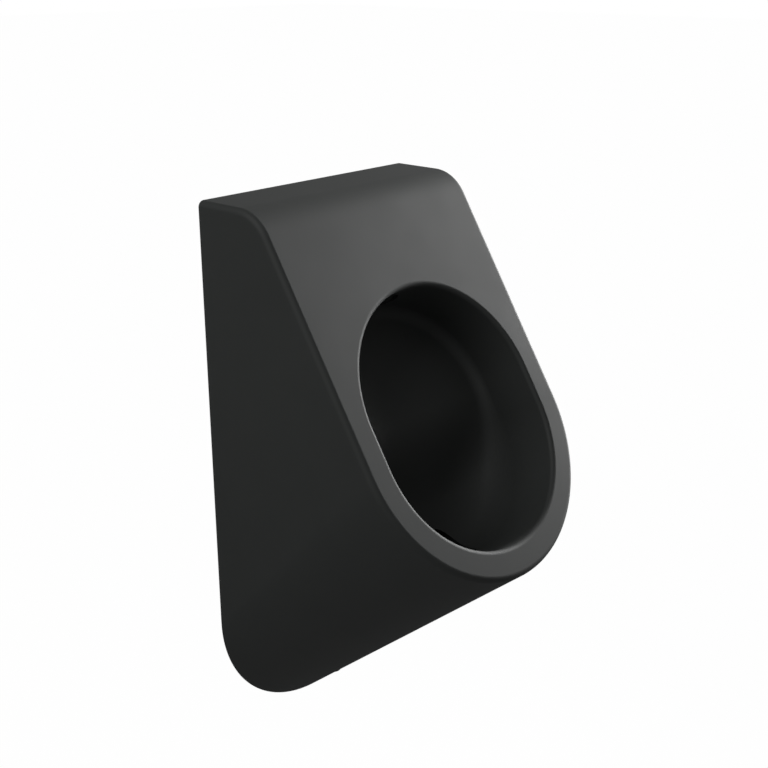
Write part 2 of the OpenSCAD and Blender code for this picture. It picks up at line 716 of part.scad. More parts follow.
module waste_union_nut() color("#e4e4df") towards_wall(-waste_end - waste_nut_len, waste_z) {
    length = waste_nut_len + waste_washer + union_lip;
    difference() {
        rotate([0, 0, 180 / 8]) cylinder(d = waste_nut_af / cos(180 / 8), h = length, $fn = 8);
        translate([0, 0, -overrun])
            cylinder(d = waste_socket_d + 2 * fit, h = waste_nut_len + waste_washer + overrun);
        cylinder(d = waste_d + 2 * fit, h = waste_nut_len + waste_washer + 2 * overrun);
    }
}

module wall_sleeve() color("#26282a") {
    towards_wall(-wall_flange_t, waste_z) ring(wall_flange_d, waste_d + 2 * fit, wall_flange_t);
    towards_wall(0, waste_z) ring(wall_sleeve_d, waste_d + 2 * fit, wall_sleeve_len);
}

ceramic_body();
hanging_rail();
hook_pads();
wall_screws();
wall_washers();
wall_plugs();
lower_bracket();
lower_nut();
lower_screw();
lower_sleeve();
lower_cap();
spray_head();
spray_gasket();
shank_washer();
shank_nut();
inlet_pipe();
inlet_washer();
inlet_union_nut();
wall_nipple();
outlet_strainer();
outlet_collar();
trap_housing();
dip_tube();
trap_cup();
cup_seal();
cup_ring_nut();
waste_pipe();
waste_washer_ring();
waste_union_nut();
wall_sleeve();
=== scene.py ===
# Wall hung urinal: the looks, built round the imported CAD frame.
# Sizes are in millimetres; finishPiece turns each mesh into metres.
import math
import bpy
import bmesh
from mathutils import Matrix, Vector


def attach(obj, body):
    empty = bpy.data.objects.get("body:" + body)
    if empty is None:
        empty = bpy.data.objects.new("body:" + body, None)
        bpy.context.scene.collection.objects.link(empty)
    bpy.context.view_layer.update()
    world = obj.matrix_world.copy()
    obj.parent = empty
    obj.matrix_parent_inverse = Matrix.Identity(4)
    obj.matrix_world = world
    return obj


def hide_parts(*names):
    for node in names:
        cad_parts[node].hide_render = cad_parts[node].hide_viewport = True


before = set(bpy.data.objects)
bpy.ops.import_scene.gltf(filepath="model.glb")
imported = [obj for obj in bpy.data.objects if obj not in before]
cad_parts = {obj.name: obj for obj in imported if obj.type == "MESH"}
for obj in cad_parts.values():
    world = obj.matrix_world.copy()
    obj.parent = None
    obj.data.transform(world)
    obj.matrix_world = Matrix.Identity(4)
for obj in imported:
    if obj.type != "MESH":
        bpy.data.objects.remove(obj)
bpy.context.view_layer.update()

clay = {
    "width": 300, "height": 616, "topDepth": 79, "slope": 32.2, "frontLength": 418,
    "browRadius": 46.5, "edgeRadius": 6.5, "hollowRadius": 10, "wall": 12,
    "hangerHeight": 515,     # from the lower edge up to the wall screws
    "curveSteps": 144, "edgeSteps": 32,
    "hollowDetail": 0.6,     # the hollow has this share of those steps
    "mouth": 0.1,            # the hollow runs straight in this far
    "flatWithin": 0.05,      # degrees between faces that become one
}
halfWidth = clay["width"] / 2
slope = math.radians(clay["slope"])
toMetres = 0.001
past = 5                     # how far a cut runs past the surface that it opens
slack = 0.05                 # the gap round a piece that sits in another
tiny = 0.001                 # points this close are one point
near = 0.01                  # an edge this close to a line lies on it
softSteps = 3                # faces across a softened edge
noiseMiddle = (0.3, 0.7)     # a noise is nearly always between these


def up(height):              # height above the lower edge, as a height in the model
    return height - clay["hangerHeight"]


def move(x=0, y=0, z=0):
    return Matrix.Translation((x, y, z))


def turn(degrees, axis):
    return Matrix.Rotation(math.radians(degrees), 4, axis)


def onFace(down, deep=0):    # down the slanted front, deep into the clay; +Y up the slope, +Z out of it
    y = -clay["topDepth"] - down * math.sin(slope) + deep * math.cos(slope)
    z = up(clay["height"]) - down * math.cos(slope) - deep * math.sin(slope)
    return move(0, y, z) @ turn(90 - clay["slope"], "X")


def alongY(y, z, x=0):       # +Z towards the wall
    return move(x, y, z) @ turn(-90, "X")


def around(axis, count, out, z=0):       # places spaced evenly round an axis
    return [axis @ turn(360 * i / count, "Z") @ move(x=out, z=z) for i in range(count)]


def zAxis(place):
    return place.to_3x3() @ Vector((0, 0, 1))


def ringOf(bm, radius, matrix, segments):
    return bmesh.ops.create_circle(bm, radius=radius, segments=segments, matrix=matrix)["verts"]


def edgesOf(verts):
    return list({e for v in verts for e in v.link_edges})


def vertsIn(made):
    return [g for g in made if isinstance(g, bmesh.types.BMVert)]


def wrapped(bm):             # keeps only the convex skin round all the points
    bmesh.ops.delete(bm, geom=list(bm.edges), context="EDGES_FACES")
    bmesh.ops.remove_doubles(bm, verts=bm.verts, dist=tiny)
    skin = bmesh.ops.convex_hull(bm, input=bm.verts)
    unused = set(vertsIn(skin["geom_interior"] + skin["geom_unused"]))
    bmesh.ops.delete(bm, geom=list(unused), context="VERTS")
    bmesh.ops.dissolve_limit(bm, angle_limit=math.radians(clay["flatWithin"]), verts=bm.verts, edges=bm.edges)
    bmesh.ops.recalc_face_normals(bm, faces=bm.faces)


def solidObject(bm, name="solid", paint=None):
    # paint is for the clay alone: 0 for faces under the glaze, 1 for bare ones
    mesh = bpy.data.meshes.new(name)
    if paint is not None:
        for face in bm.faces:
            face.material_index = paint
        mesh.materials.append(finishes["matt_ceramic"])
        mesh.materials.append(finishes["raw_clay"])
    bm.to_mesh(mesh)
    bm.free()
    thing = bpy.data.objects.new(name, mesh)
    bpy.context.scene.collection.objects.link(thing)
    return thing


def barTool(*bars, name="bars", paint=None):
    # round bars in one mesh, each given as radius, length, place and segments
    bm = bmesh.new()
    for radius, length, place, segments in bars:
        bmesh.ops.create_cone(bm, cap_ends=True, segments=segments, radius1=radius, radius2=radius,
                              depth=length, matrix=place @ move(z=length / 2))
    return solidObject(bm, name, paint)


def blockTool(*blocks, paint=None):      # blocks in one mesh, each given by its lowest and highest corner
    bm = bmesh.new()
    for low, high in blocks:
        size = [b - a for a, b in zip(low, high)]
        middle = [(a + b) / 2 for a, b in zip(low, high)]
        bmesh.ops.create_cube(bm, matrix=move(*middle) @ Matrix.Diagonal((*size, 1)))
    return solidObject(bm, "blocks", paint)


def combine(thing, how, *tools):         # a boolean that uses the tools up
    for tool in tools:
        step = thing.modifiers.new(how.lower(), "BOOLEAN")
        step.operation = how
        step.solver = "EXACT"
        step.object = tool
    bpy.context.view_layer.update()
    shaped = thing.evaluated_get(bpy.context.evaluated_depsgraph_get())
    mesh = bpy.data.meshes.new_from_object(shaped)
    thing.modifiers.clear()
    thing.data = mesh
    for tool in tools:
        bpy.data.objects.remove(tool)


def nodeOf(tree, kind, **values):
    node = tree.nodes.new(kind)
    for name, value in values.items():
        if name in node.inputs:
            node.inputs[name].default_value = value
        else:
            setattr(node, name, value)
    return node


def speckleGroup():          # even and uneven grain, for every finish on the object
    group = bpy.data.node_groups.new("surfaceGrain", "ShaderNodeTree")
    for name, value in (("Cloud Size", 60.0), ("Grain Size", 900.0)):
        socket = group.interface.new_socket(name=name, in_out="INPUT", socket_type="NodeSocketFloat")
        socket.default_value = value
    for name in ("Cloud", "Grain"):
        group.interface.new_socket(name=name, in_out="OUTPUT", socket_type="NodeSocketFloat")
    given = group.nodes.new("NodeGroupInput")
    out = group.nodes.new("NodeGroupOutput")
    place = nodeOf(group, "ShaderNodeTexCoord")
    link = group.links.new
    for name, detail, rough in (("Cloud", 5.0, 0.6), ("Grain", 3.0, 0.55)):
        noise = nodeOf(group, "ShaderNodeTexNoise", Detail=detail, Roughness=rough)
        link(place.outputs["Object"], noise.inputs["Vector"])
        link(given.outputs[name + " Size"], noise.inputs["Scale"])
        link(noise.outputs["Fac"], out.inputs[name])
    return group


grainGroup = speckleGroup()


def rangeNode(tree, fromLow, fromHigh, toLow=0, toHigh=1):
    return nodeOf(tree, "ShaderNodeMapRange",
                  **{"From Min": fromLow, "From Max": fromHigh, "To Min": toLow, "To Max": toHigh})


def spread(tree, source, low, high, socket):
    # takes the middle of a noise to the range low to high
    node = rangeNode(tree, *noiseMiddle, low, high)
    tree.links.new(source, node.inputs["Value"])
    tree.links.new(node.outputs["Result"], socket)


def finishMaterial(name, dark, light, rough, cloudSize=40, grainSize=700, bump=0.1, bumpDepth=0.00004,
                   metallic=0):
    material = bpy.data.materials.new(name)
    material.use_nodes = True
    tree = material.node_tree
    shader = tree.nodes["Principled BSDF"]
    shader.inputs["Metallic"].default_value = metallic
    grain = nodeOf(tree, "ShaderNodeGroup")
    grain.node_tree = grainGroup
    grain.inputs["Cloud Size"].default_value = cloudSize
    grain.inputs["Grain Size"].default_value = grainSize
    colour = nodeOf(tree, "ShaderNodeMix", data_type="RGBA")
    colour.inputs["A"].default_value = (*dark, 1)
    colour.inputs["B"].default_value = (*light, 1)
    spread(tree, grain.outputs["Cloud"], 0, 1, colour.inputs["Factor"])
    tree.links.new(colour.outputs["Result"], shader.inputs["Base Color"])
    spread(tree, grain.outputs["Cloud"], *rough, shader.inputs["Roughness"])
    relief = nodeOf(tree, "ShaderNodeBump", Strength=bump, Distance=bumpDepth)
    tree.links.new(grain.outputs["Grain"], relief.inputs["Height"])
    tree.links.new(relief.outputs["Normal"], shader.inputs["Normal"])
    return material


# each finish has a darker and a lighter colour, and a range of roughness
finishes = {
    "matt_ceramic": finishMaterial("mattBlackGlaze", (0.033, 0.036, 0.0345), (0.036, 0.039, 0.0375),
                                   (0.66, 0.70), cloudSize=18, grainSize=420, bump=0.2, bumpDepth=0.00006),
    "raw_clay": finishMaterial("rawFiredClay", (0.40, 0.36, 0.31), (0.52, 0.48, 0.42), (0.75, 0.9),
                               cloudSize=25, grainSize=900, bump=0.5, bumpDepth=0.0002),
    "zinc_steel": finishMaterial("zincPlatedSteel", (0.50, 0.51, 0.52), (0.62, 0.63, 0.63), (0.42, 0.56),
                                 cloudSize=90, grainSize=1500, metallic=1),
    "nylon": finishMaterial("naturalNylon", (0.66, 0.66, 0.61), (0.74, 0.74, 0.69), (0.42, 0.52)),
    "grey_nylon": finishMaterial("greyNylon", (0.23, 0.25, 0.26), (0.29, 0.31, 0.32), (0.5, 0.6)),
    "black_plastic": finishMaterial("blackPlastic", (0.017, 0.018, 0.0175), (0.024, 0.025, 0.0245),
                                    (0.42, 0.55)),
    "white_plastic": finishMaterial("whitePlastic", (0.70, 0.70, 0.67), (0.76, 0.76, 0.73), (0.28, 0.38)),
    "grey_plastic": finishMaterial("greyPipePlastic", (0.25, 0.26, 0.27), (0.30, 0.31, 0.32), (0.35, 0.5)),
    "rubber": finishMaterial("blackRubber", (0.018, 0.019, 0.020), (0.026, 0.027, 0.028), (0.6, 0.75)),
    "brass": finishMaterial("turnedBrass", (0.50, 0.31, 0.10), (0.62, 0.42, 0.16), (0.22, 0.36), metallic=1),
}
backEdge = {                 # in metres from the wall; spots is how unevenly the glaze ends
    "glazeGone": -0.05, "glazeWhole": -0.008, "spots": 0.45, "spotsFrom": (0.35, 0.65),
    "mist": {"Scale": 70.0, "Detail": 8.0, "Roughness": 0.7}, "colour": (0.036, 0.039, 0.0375, 1),
}


def thinGlaze():             # the glaze runs over the back edge and thins out in the hollow
    tree = finishes["raw_clay"].node_tree
    shader = tree.nodes["Principled BSDF"]
    colour = shader.inputs["Base Color"].links[0].from_socket
    place = nodeOf(tree, "ShaderNodeTexCoord")
    axes = nodeOf(tree, "ShaderNodeSeparateXYZ")
    nearness = rangeNode(tree, backEdge["glazeGone"], backEdge["glazeWhole"])
    mist = nodeOf(tree, "ShaderNodeTexNoise", **backEdge["mist"])
    spots = rangeNode(tree, *backEdge["spotsFrom"], -backEdge["spots"], backEdge["spots"])
    total = nodeOf(tree, "ShaderNodeMath", operation="ADD", use_clamp=True)
    cover = nodeOf(tree, "ShaderNodeMix", data_type="RGBA")
    cover.inputs["B"].default_value = backEdge["colour"]
    link = tree.links.new
    link(place.outputs["Object"], axes.inputs[0])
    link(place.outputs["Object"], mist.inputs["Vector"])
    link(axes.outputs["Y"], nearness.inputs["Value"])
    link(mist.outputs["Fac"], spots.inputs["Value"])
    link(nearness.outputs[0], total.inputs[0])
    link(spots.outputs[0], total.inputs[1])
    link(total.outputs[0], cover.inputs["Factor"])
    link(colour, cover.inputs["A"])
    link(cover.outputs["Result"], shader.inputs["Base Color"])


thinGlaze()
print("finishes ready")


def finishPiece(thing, slotName, *replaced, bodyName="root", softEdge=0, sharp=35):
    bm = bmesh.new()
    bm.from_mesh(thing.data)
    bmesh.ops.remove_doubles(bm, verts=bm.verts, dist=tiny)
    bmesh.ops.dissolve_degenerate(bm, dist=tiny / 2, edges=bm.edges)
    bmesh.ops.holes_fill(bm, edges=[e for e in bm.edges if e.is_boundary], sides=8)
    bmesh.ops.delete(bm, geom=[e for e in bm.edges if e.is_wire], context="EDGES")
    bm.to_mesh(thing.data)
    bm.free()
    thing.data.transform(Matrix.Scale(toMetres, 4))
    if not thing.data.materials:
        thing.data.materials.append(finishes[slotName])
    for face in thing.data.polygons:
        face.use_smooth = True
    if softEdge:
        step = thing.modifiers.new("softEdge", "BEVEL")
        step.width = softEdge * toMetres
        step.segments = softSteps
        step.limit_method = "ANGLE"
        step.angle_limit = math.radians(sharp)
        step.harden_normals = True
    else:
        thing.data.set_sharp_from_angle(angle=math.radians(sharp))
    step = thing.modifiers.new("shading", "WEIGHTED_NORMAL")
    step.keep_sharp = True
    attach(thing, bodyName)
    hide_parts(*replaced)
    print(thing.name + ":", len(thing.data.polygons), "faces")


bowl = {
    "width": 242, "top": 106, "rim": 31.5, "straightDepth": 70, "dishDepth": 40, "dishRun": 60,
    "lipRadius": 5, "creaseRadius": 13,
    "narrower": 2.4,         # the opening is this much smaller at the top and sides than the clay's inside
    "steps": 166, "sideCuts": 9, "lipSteps": 8, "wallRings": (24, 44), "backSteps": 12,
    "creaseSteps": 19, "creaseBias": 1.4,        # more than 1 sets the rings closer at the wall
    "longEdge": 20, "merge": 0.06,
}
bowlRadius = bowl["width"] / 2
bowlLow = clay["frontLength"] - bowl["rim"]
bowlCentres = (bowl["top"] + bowlRadius, bowlLow - bowlRadius)


def clayForm(inset, corner, behind, detail=1.0):
    curve = int(clay["curveSteps"] * detail)
    edge = int(clay["edgeSteps"] * detail)
    sideX = halfWidth - inset - corner
    browY = -clay["topDepth"] + clay["browRadius"] * (1 - math.sin(slope)) / math.cos(slope)
    browZ = up(clay["height"] - clay["browRadius"])
    bm = bmesh.new()
    for y in (behind, -clay["mouth"]) if behind else (0,):
        ringOf(bm, halfWidth - inset, move(0, y, up(halfWidth)) @ turn(90, "X"), curve)
        for side in (-1, 1):
            corners = move(side * sideX, y, up(clay["height"] - inset - corner))
            ringOf(bm, corner, corners @ turn(90, "X"), edge)
    for side in (-1, 1):     # the rounded ends of the brow
        centre = move(side * sideX, browY, browZ)
        rim = ringOf(bm, corner, centre @ move(y=clay["browRadius"] - inset - corner), edge)
        bmesh.ops.spin(bm, geom=rim + edgesOf(rim), cent=centre.translation, axis=(1, 0, 0),
                       angle=2 * math.pi, steps=curve, use_merge=True)
    nose = onFace(clay["frontLength"] - halfWidth, inset + corner)
    rim = ringOf(bm, corner, nose @ move(x=sideX) @ turn(90, "X"), edge)
    bmesh.ops.spin(bm, geom=rim + edgesOf(rim), cent=nose.translation, axis=zAxis(nose), angle=-math.pi,
                   steps=curve // 2)
    wrapped(bm)
    return bm


def dishAt(down):            # how much deeper the back is at this distance down the slope
    share = (down - bowlCentres[0]) / (bowlLow - bowl["dishRun"] - bowlCentres[0])
    share = min(max(share, 0), 1)
    return bowl["dishDepth"] * share * share * (3 - 2 * share)


def bowlRings(grow, lip, radius):        # from the opening inwards, as inset, depth and share of the dish
    lipRadius, run = bowl["lipRadius"], bowl["dishRun"]
    rings = [(-lipRadius if lip else 0, -past, 0)]
    for i in range(bowl["lipSteps"] + 1 if lip else 0):
        angle = math.radians(90 * i / bowl["lipSteps"])
        rings.append((-lipRadius * (1 - math.sin(angle)), lipRadius * (1 - math.cos(angle)), 0))
    crease = bowl["creaseRadius"] + grow
    straight = bowl["straightDepth"] - bowl["creaseRadius"]
    rings += [(0, depth, 0) for depth in (*bowl["wallRings"], straight)]
    for i in range(1, bowl["creaseSteps"] + 1):
        angle = math.radians(90 * (i / bowl["creaseSteps"]) ** bowl["creaseBias"])
        inset = run * (1 - math.cos(angle))
        bend = math.sqrt(crease ** 2 - (crease - inset) ** 2) if inset < crease else crease
        rings.append((inset, straight + bend, math.sin(angle)))
    for i in range(1, bowl["backSteps"] + 1):
        rings.append((run + (radius - run) * i / bowl["backSteps"], straight + crease, 1))
    return rings


def bowlSkin(grow, lip):
    less = bowl["narrower"] if lip else 0
    radius = bowlRadius + grow - less
    high, low = bowlCentres[0], bowlCentres[1] + less
    rings = bowlRings(grow, lip, radius)
    last = rings[0][0]
    bm = bmesh.new()
    for v in ringOf(bm, radius - last, Matrix(), bowl["steps"]):
        v.co.y -= high if v.co.y > 0 else low
        v.co.z = past
    straights = [e for e in bm.edges if abs(e.verts[0].co.y - e.verts[1].co.y) > bowl["longEdge"]]
    bmesh.ops.subdivide_edges(bm, edges=straights, cuts=bowl["sideCuts"])
    edges = list(bm.edges)
    bmesh.ops.edgenet_fill(bm, edges=edges)
    for inset, depth, share in rings[1:]:
        made = bmesh.ops.extrude_edge_only(bm, edges=edges)["geom"]
        edges = [g for g in made if isinstance(g, bmesh.types.BMEdge)]
        for v in {v for e in edges for v in e.verts}:
            centre = Vector((0, -min(max(-v.co.y, high), low), v.co.z))
            v.co += (centre - v.co).normalized() * (inset - last)
            v.co.z = -depth - share * dishAt(-v.co.y)
        last = inset
    bmesh.ops.remove_doubles(bm, verts=bm.verts, dist=bowl["merge"])
    bmesh.ops.transform(bm, matrix=onFace(0), verts=bm.verts)
    bmesh.ops.recalc_face_normals(bm, faces=bm.faces)
    return bm


hanging = {
    "screwGap": 150, "webBack": 14, "windowHeight": 36, "windowWidth": 46, "webStrip": 14, "webGap": 64,
    "windowLow": 19.55,      # the web's windows bear on the pads of the hooks
    "gapTop": 55.31,
}
throat = {
    "diameter": 36, "height": -268.148, "front": -222.128,
    "ledgeFront": -148, "ledgeWidth": 2.3, "ledgeLength": 6,
    "socket": 50, "socketDepth": 22, "socketEnd": -120, "socketWall": 10,
}
footing = {"out": 24, "postDiameter": 30, "postHeight": 48.873, "seatHeight": 34, "recess": 18, "hole": 9.2}
inlet = {
    "headIn": 42, "headDiameter": 34, "shank": 20, "seatCut": 4, "seatReach": 6, "nutSeat": 10.5,
    "nutFlats": 30, "nutRoom": 1, "gasket": 2, "height": 25.309, "elbowY": -77.031,
}
hexCorner = 1 / math.cos(math.pi / 6)    # a hexagon's width over its corners, for 1 over its flats
sides = [-hanging["screwGap"] / 2, hanging["screwGap"] / 2]
ceiling = onFace(bowl["top"]) @ move(z=-inlet["headIn"]) @ turn(-90, "X")    # of the bowl, +Z into the clay
footAxis = move(y=-footing["out"])
footLow = footAxis @ move(z=up(0))
inletAxis = alongY(0, inlet["height"])
throatAxis = alongY(0, throat["height"])


def hangingWeb():            # the upright web that hangs on the hooks, with its two windows
    windowLow = hanging["windowLow"]
    low, back = windowLow - hanging["webStrip"], -hanging["webBack"]
    front = back - clay["wall"]
    web = blockTool(((-halfWidth, front, low), (halfWidth, back, up(clay["height"]))), paint=1)
    half, gap = hanging["windowWidth"] / 2, hanging["webGap"] / 2
    windows = [((middle - half, front - past, windowLow),
                (middle + half, back + past, windowLow + hanging["windowHeight"])) for middle in sides]
    windows.append(((-gap, front - past, low - past), (gap, back + past, hanging["gapTop"])))
    combine(web, "DIFFERENCE", blockTool(*windows, paint=1))
    return web


def hollow():                # what is cut from the back, less all that stands in it
    form = clayForm(clay["wall"], clay["hollowRadius"], past, clay["hollowDetail"])
    cavity = solidObject(form, "hollow", 1)
    bossFront = throat["front"] - throat["socketWall"]
    boss = barTool((throat["socket"] / 2 + throat["socketWall"], throat["socketEnd"] - bossFront,
                    alongY(bossFront, throat["height"]), 96), paint=1)
    post = barTool((footing["postDiameter"] / 2, footing["postHeight"], footLow, 64), paint=1)
    shell = solidObject(bowlSkin(clay["wall"], False), "shell", 1)
    combine(cavity, "DIFFERENCE", shell, hangingWeb(), boss, post)
    return cavity


def bores():                 # every round hole in the clay
    z, radius = throat["height"], throat["diameter"] / 2
    wide = barTool((radius, throat["ledgeFront"] - throat["front"], alongY(throat["front"], z), 96))
    narrow = barTool((radius - throat["ledgeWidth"], throat["ledgeLength"] + 2 * past,
                      alongY(throat["ledgeFront"] - past, z), 96))
    under = ceiling @ move(z=-inlet["seatReach"])
    bare = barTool((throat["socket"] / 2, throat["socketDepth"] + past,
                    alongY(throat["socketEnd"] - throat["socketDepth"], z), 96),
                   (inlet["shank"] / 2 + slack, clay["wall"] + inlet["seatReach"] + past, under, 48), paint=1)
    recess = barTool((footing["recess"] / 2, footing["seatHeight"] + past, footLow @ move(z=-past), 64),
                     paint=0)
    seats = barTool((inlet["headDiameter"] / 2 + inlet["gasket"], inlet["seatReach"] + inlet["seatCut"],
                     under, 64),
                    (inlet["nutFlats"] / 2 * hexCorner + inlet["nutRoom"], past,
                     ceiling @ move(z=inlet["nutSeat"]), 64),
                    (footing["hole"] / 2, footing["postHeight"] + past, footLow, 48), paint=0)
    return wide, narrow, bare, recess, seats


body = solidObject(clayForm(0, clay["edgeRadius"], 0), "ceramicBody", 0)
combine(body, "DIFFERENCE", hollow())
combine(body, "DIFFERENCE", solidObject(bowlSkin(0, True), "bowlTool", 0), *bores())
finishPiece(body, "matt_ceramic", "ceramic_body")


def arc(radius, height, wide, tall, start, end, steps=8):      # points of a rounded corner, in degrees
    angles = [math.radians(start + (end - start) * i / steps) for i in range(steps + 1)]
    return [(radius + wide * math.cos(angle), height + tall * math.sin(angle)) for angle in angles]


def turned(name, outline, *places, segments=96):
    # spins an outline of radius and height round +Z at each place; it closes unless it starts on the axis
    bm = bmesh.new()
    for place in places:
        verts = [bm.verts.new(place @ Vector((radius, 0, height))) for radius, height in outline]
        edges = [bm.edges.new(pair) for pair in zip(verts, verts[1:])]
        if outline[0][0] > 0:
            edges.append(bm.edges.new((verts[-1], verts[0])))
        bmesh.ops.spin(bm, geom=verts + edges, cent=place.translation, axis=zAxis(place), angle=2 * math.pi,
                       steps=segments, use_merge=True)
        bmesh.ops.remove_doubles(bm, verts=bm.verts, dist=2 * tiny)
        bmesh.ops.recalc_face_normals(bm, faces=bm.faces)
    return solidObject(bm, name)


shoulder = {"slope": 0.07, "cut": 1.15, "spare": 0.3}          # slope is a share of the width over the flats


def hexPiece(name, flats, height, bore, place, bothEnds=True):
    # a nut or head: a prism trimmed by a turned form with sloping shoulders
    corner = flats / 2 * hexCorner
    wide, slopeHeight = corner + shoulder["spare"], flats * shoulder["slope"]
    cut = (corner - flats / 2) * shoulder["cut"]
    outline = [(bore / 2, 0), (wide - cut, 0), (wide, slopeHeight)]
    outline += [(wide, height - slopeHeight), (wide - cut, height)] if bothEnds else [(wide, height)]
    prism = barTool((corner, height + 2, place @ move(z=-1), 6), name=name)
    combine(prism, "INTERSECT", turned("shoulders", outline + [(bore / 2, height)], place))
    return prism


# in shares of the pitch, but merge is in millimetres
threadForm = {"foot": 0.12, "crest": 0.46, "crestEnd": 0.62, "merge": 0.005}


def threadedBar(radius, pitch, depth, envelope, place, steps=36):
    # a screw thread wound as one surface, then trimmed to the envelope's outline
    low = min(z for r, z in envelope) - 2 * pitch
    high = max(z for r, z in envelope) + pitch
    count = math.ceil((high - low) / pitch)
    points = []
    for i in range(count):
        z = low + i * pitch
        points += [(radius - depth, z), (radius - depth, z + threadForm["foot"] * pitch),
                   (radius, z + threadForm["crest"] * pitch), (radius, z + threadForm["crestEnd"] * pitch)]
    points.append((radius - depth, low + count * pitch))
    bm = bmesh.new()
    verts = [bm.verts.new((r, 0, z)) for r, z in points]
    edges = [bm.edges.new(pair) for pair in zip(verts, verts[1:])]
    bmesh.ops.spin(bm, geom=verts + edges, cent=(0, 0, 0), axis=(0, 0, 1), dvec=(0, 0, pitch / steps),
                   angle=2 * math.pi, steps=steps)
    bmesh.ops.remove_doubles(bm, verts=bm.verts, dist=threadForm["merge"])
    for end in (low - 2 * pitch, low + (count + 3) * pitch):
        rim = [e for e in bm.edges
               if e.is_boundary and (e.verts[0].co.z < (low + high) / 2) == (end < low)]
        made = bmesh.ops.extrude_edge_only(bm, edges=rim)["geom"]
        bmesh.ops.pointmerge(bm, verts=vertsIn(made), merge_co=(0, 0, end))
    bmesh.ops.transform(bm, matrix=place, verts=bm.verts)
    bmesh.ops.recalc_face_normals(bm, faces=bm.faces)
    bar = solidObject(bm, "thread")
    combine(bar, "INTERSECT", turned("envelope", envelope, place, segments=48))
    return bar


def spreadOut(thing, places):            # one mesh holding a copy at each place
    bm = bmesh.new()
    bm.from_mesh(thing.data)
    first = list(bm.verts) + list(bm.edges) + list(bm.faces)
    for place in places[1:]:
        made = bmesh.ops.duplicate(bm, geom=first)["geom"]
        bmesh.ops.transform(bm, matrix=place, verts=vertsIn(made))
    bmesh.ops.transform(bm, matrix=places[0], verts=vertsIn(first))
    bm.to_mesh(thing.data)
    bm.free()
    return thing


def bevelled(bm, edges, size, segments):
    bmesh.ops.bevel(bm, geom=edges, offset=size, offset_type="OFFSET", affect="EDGES", segments=segments,
                    profile=0.5, material=-1)


def bentStrip(name, outline, middle, half, bends):
    # extrudes a strip's side outline of (y, z) points along X and rounds its bends
    bm = bmesh.new()
    face = bm.faces.new([bm.verts.new((middle - half, y, z)) for y, z in outline])
    made = bmesh.ops.extrude_face_region(bm, geom=[face])["geom"]
    bmesh.ops.translate(bm, vec=(2 * half, 0, 0), verts=vertsIn(made))
    bmesh.ops.recalc_face_normals(bm, faces=bm.faces)
    for (y, z), radius in bends:
        bevelled(bm, [e for e in bm.edges
                      if all(abs(v.co.y - y) < near and abs(v.co.z - z) < near for v in e.verts)], radius, 8)
    return solidObject(bm, name)


def roundTips(thing, plate, size, isTip):      # rounds the corners of a plate's ends
    bm = bmesh.new()
    bm.from_mesh(thing.data)
    bevelled(bm, [e for e in bm.edges if abs(e.verts[0].co.x - e.verts[1].co.x) < near
                  and abs(e.calc_length() - plate) < near and isTip([v.co for v in e.verts])], size, 6)
    bm.to_mesh(thing.data)
    bm.free()


rail = {
    "plate": 4, "hookWidth": 30, "low": -17, "barTop": 7.719, "plateTop": 53, "reach": 32.6, "lip": 14,
    "hole": 11, "bendOutside": 5, "bendInside": 1.2, "corner": 5, "softEdge": 0.5,
}


def hangingRail():
    t, low, top, reach = rail["plate"], rail["low"], rail["plateTop"], rail["reach"]
    tip = top + rail["lip"]
    outline = [(0, low), (0, top), (-reach + t, top), (-reach + t, tip), (-reach, tip), (-reach, top - t),
               (-t, top - t), (-t, low)]
    bends = [((0, top), rail["bendOutside"]), ((-reach, top - t), rail["bendOutside"]),
             ((-t, top - t), rail["bendInside"]), ((-reach + t, top), rail["bendInside"])]
    thing, other = [bentStrip("hangingRail", outline, x, rail["hookWidth"] / 2, bends) for x in sides]
    combine(thing, "UNION", blockTool(((sides[0], -t, low), (sides[1], 0, rail["barTop"]))), other)
    combine(thing, "DIFFERENCE", barTool(*[(rail["hole"] / 2, t + 2 * past, alongY(-t - past, 0, x), 48)
                                           for x in sides]))
    roundTips(thing, t, rail["corner"], lambda ends: all(co.z > tip - near for co in ends))
    return thing


pads = {
    "thick": 2.5, "low": 53.05, "front": -28.55, "back": -11.5, "top": 67, "bend": 0.8, "softEdge": 0.35,
    "grooves": 4, "groove": 0.7, "grooveHalf": 0.6, "grooveStep": 6, "grooveEnd": 2,
}


def hookPads():
    thick, low, front, back = pads["thick"], pads["low"], pads["front"], pads["back"]
    top = low + (thick - slack)
    outline = [(front, low), (back, low), (back, top), (front + thick, top), (front + thick, pads["top"]),
               (front, pads["top"])]
    one = bentStrip("hookPads", outline, 0, rail["hookWidth"] / 2, [((front + thick, top), pads["bend"])])
    both = spreadOut(one, screwPlaces[:2])
    half, end = pads["grooveHalf"], pads["grooveEnd"]
    grooves = []
    for middle in sides:
        for i in range(pads["grooves"]):
            x = middle + (i - (pads["grooves"] - 1) / 2) * pads["grooveStep"]
            grooves.append(((x - half, front + thick + end, top - pads["groove"]),
                            (x + half, back - end, top + 1)))
    combine(both, "DIFFERENCE", blockTool(*grooves))
    return both


wallScrew = {
    "across": 13, "headHeight": 5.5, "headFront": -11.15, "diameter": 8, "pitch": 3.2, "depth": 1.1,
    "shank": ((0, -6.65), (4, -6.65), (4, -3.65), (3.6, -3.25), (3.6, 5.5), (0, 5.5)),
    "thread": ((0, 4), (4, 5), (4, 46.35), (0.3, 54.35), (0, 54.35)),
    "lowHeight": -437,       # of the single screw below; the upper two are at 0
}
screwPlaces = [move(x=x) for x in sides] + [move(z=wallScrew["lowHeight"])]


